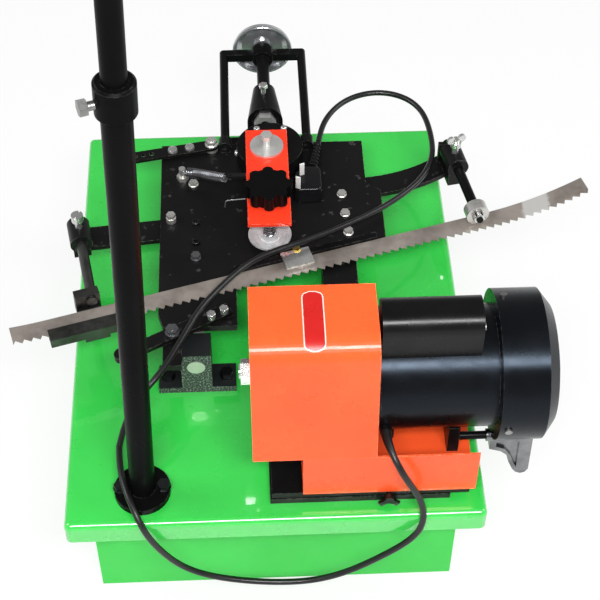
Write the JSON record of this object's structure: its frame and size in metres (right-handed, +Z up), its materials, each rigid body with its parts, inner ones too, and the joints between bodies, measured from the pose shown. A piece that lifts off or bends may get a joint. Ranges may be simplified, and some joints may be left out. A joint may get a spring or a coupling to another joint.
{
  "type": "bandsaw blade sharpener",
  "caption": "Bench sharpener for bandsaw blades: green cabinet, hooded grinding motor on a cross slide, screw-fed bed with blade guides, and a telescopic post.",
  "frame": {"origin": "centre of the cabinet's bottom face", "axes": "+X to the right seen by the operator, +Y away from the operator, +Z up"},
  "size_m": [0.6694, 0.6983, 0.847],
  "materials": {
    "green_paint": "glossy",
    "orange_paint": "glossy",
    "black_paint": "satin",
    "cast": "rough",
    "steel": "satin",
    "dark_zinc": "satin",
    "chrome": "polished",
    "abrasive": "rough",
    "winding": "satin",
    "black_plastic": "glossy",
    "lead_sheath": "satin"
  },
  "bodies": {
    "root": {"cabinet": "green_paint", "deck": "green_paint", "post_tube": "black_paint", "deck_bolts": "dark_zinc", "post_collar": "black_paint", "front_pedestals": "cast", "rear_pedestals": "cast", "guide_shafts": "steel", "screw_bracket": "black_paint", "slide_rail": "cast", "mains_lead": "lead_sheath"},
    "post_inner": {"inner_tube": "black_paint"},
    "post_lock": {"post_screw": "steel"},
    "carriage": {"slide_carriage": "black_paint", "motor_tray": "orange_paint", "wheel_hood": "orange_paint", "motor_shell": "black_paint", "end_shields": "black_paint", "fan_cover": "black_paint", "capacitor_box": "black_plastic", "motor_foot": "black_paint", "stator": "winding", "motor_bearings": "steel", "grinder_screws": "steel"},
    "spindle": {"rotor_shaft": "steel", "grinding_wheel": "abrasive", "wheel_flanges": "steel", "arbor_nut": "steel", "cooling_fan": "black_plastic"},
    "clamp_lever": {"clamp_rod": "black_paint", "clamp_handle": "steel"},
    "rail_lock": {"rail_lock_screw": "black_paint"},
    "infeed": {"feed_screw": "steel", "handwheel": "chrome", "screw_nut": "steel"},
    "bed": {"bed_plate": "black_paint", "slide_blocks": "black_paint", "screw_yoke": "black_paint", "feed_housing": "black_paint", "blade_fence": "black_paint", "hold_down": "steel", "right_arm": "black_paint", "left_arm": "black_paint", "bed_screws": "steel", "return_spring": "steel", "pivot_bolt": "steel", "mains_plug": "black_plastic"},
    "lever": {"feed_lever": "orange_paint", "presser_stud": "steel", "presser_spring": "steel"},
    "presser": {"presser_cup": "steel"},
    "knob": {"star_knob": "black_plastic"},
    "link": {"index_link": "black_paint"},
    "roller_arm": {"roller_rod": "black_paint"},
    "guide_roller": {"roller": "steel"},
    "guide_arm": {"guide_shoe": "steel"},
    "right_clamp": {"right_clamp_screw": "steel"},
    "left_clamp": {"left_clamp_screw": "steel"},
    "stop": {"stop_lever": "black_paint"},
    "strip": {"blade": "steel"}
  },
  "joints": [
    {"name": "bed_slide", "type": "slide", "parent": "root", "child": "bed", "axis": [0, -1, 0], "range_m": [0, 0.055], "deforming": ["mains_lead"]},
    {"name": "infeed_turn", "type": "hinge", "parent": "root", "child": "infeed", "pos_m": [0.004, 0.3, 0.254], "axis": [0, 1, 0], "range_deg": [0, 2500]},
    {"name": "carriage_slide", "type": "slide", "parent": "root", "child": "carriage", "axis": [1, 0, 0], "range_m": [-0.015, 0.015], "deforming": ["mains_lead"]},
    {"name": "spindle_spin", "type": "hinge", "parent": "carriage", "child": "spindle", "pos_m": [0, -0.187, 0.285], "axis": [1, 0, 0], "continuous": true},
    {"name": "clamp_swing", "type": "hinge", "parent": "carriage", "child": "clamp_lever", "pos_m": [0.23, -0.219, 0.20249], "axis": [1, 0, 0], "range_deg": [-25, 25]},
    {"name": "rail_lock_turn", "type": "hinge", "parent": "carriage", "child": "rail_lock", "pos_m": [0.12, -0.283, 0.18465], "axis": [0, 1, 0], "range_deg": [0, 180]},
    {"name": "post_slide", "type": "slide", "parent": "root", "child": "post_inner", "axis": [0.0349, 0, 0.9994], "range_m": [-0.12, 0.08]},
    {"name": "post_lock_turn", "type": "hinge", "parent": "root", "child": "post_lock", "pos_m": [-0.12256, -0.257, 0.72866], "axis": [-0.9391, -0.342, 0.0328], "range_deg": [0, 180]},
    {"name": "lever_swing", "type": "hinge", "parent": "bed", "child": "lever", "pos_m": [0.004, 0.156, 0.28], "axis": [0, 0, 1], "range_deg": [-5, 5], "stiffness_Nm_per_rad": 1, "deforming": ["return_spring"]},
    {"name": "presser_slide", "type": "slide", "parent": "lever", "child": "presser", "axis": [0, 0, 1], "range_m": [0, 0.005], "stiffness_N_per_m": 800, "springref_m": -0.005, "deforming": ["presser_spring"]},
    {"name": "knob_turn", "type": "hinge", "parent": "lever", "child": "knob", "pos_m": [0.004, 0.074, 0.292], "axis": [0, 0, 1], "range_deg": [-180, 180]},
    {"name": "link_swing", "type": "hinge", "parent": "bed", "child": "link", "pos_m": [-0.063, 0.192, 0.253], "axis": [0, 0, 1], "range_deg": [-8, 8]},
    {"name": "roller_slide", "type": "slide", "parent": "bed", "child": "roller_arm", "axis": [0.1822, -0.9833, 0], "range_m": [-0.01, 0.01]},
    {"name": "roller_spin", "type": "hinge", "parent": "roller_arm", "child": "guide_roller", "pos_m": [0.2464, 0.05851, 0.262], "axis": [0.1822, -0.9833, 0], "continuous": true},
    {"name": "guide_slide", "type": "slide", "parent": "bed", "child": "guide_arm", "axis": [0.1822, -0.9833, 0], "range_m": [-0.005, 0.005]},
    {"name": "right_clamp_turn", "type": "hinge", "parent": "bed", "child": "right_clamp", "pos_m": [0.23, 0.147, 0.272], "axis": [0, 0, 1], "range_deg": [0, 180]},
    {"name": "left_clamp_turn", "type": "hinge", "parent": "bed", "child": "left_clamp", "pos_m": [-0.216, 0.046, 0.272], "axis": [0, 0, 1], "range_deg": [0, 180]},
    {"name": "stop_swing", "type": "hinge", "parent": "bed", "child": "stop", "pos_m": [-0.1075, -0.104, 0.25], "axis": [0, 0, 1], "range_deg": [-8, 8]},
    {"name": "blade_slide", "type": "slide", "parent": "bed", "child": "strip", "axis": [0.9613, 0.2756, 0], "range_m": [-0.01, 0.01]}
  ],
  "couplings": [
    {"joint": "infeed_turn", "follows": "bed_slide", "rad_per_m": 785.4}
  ]
}
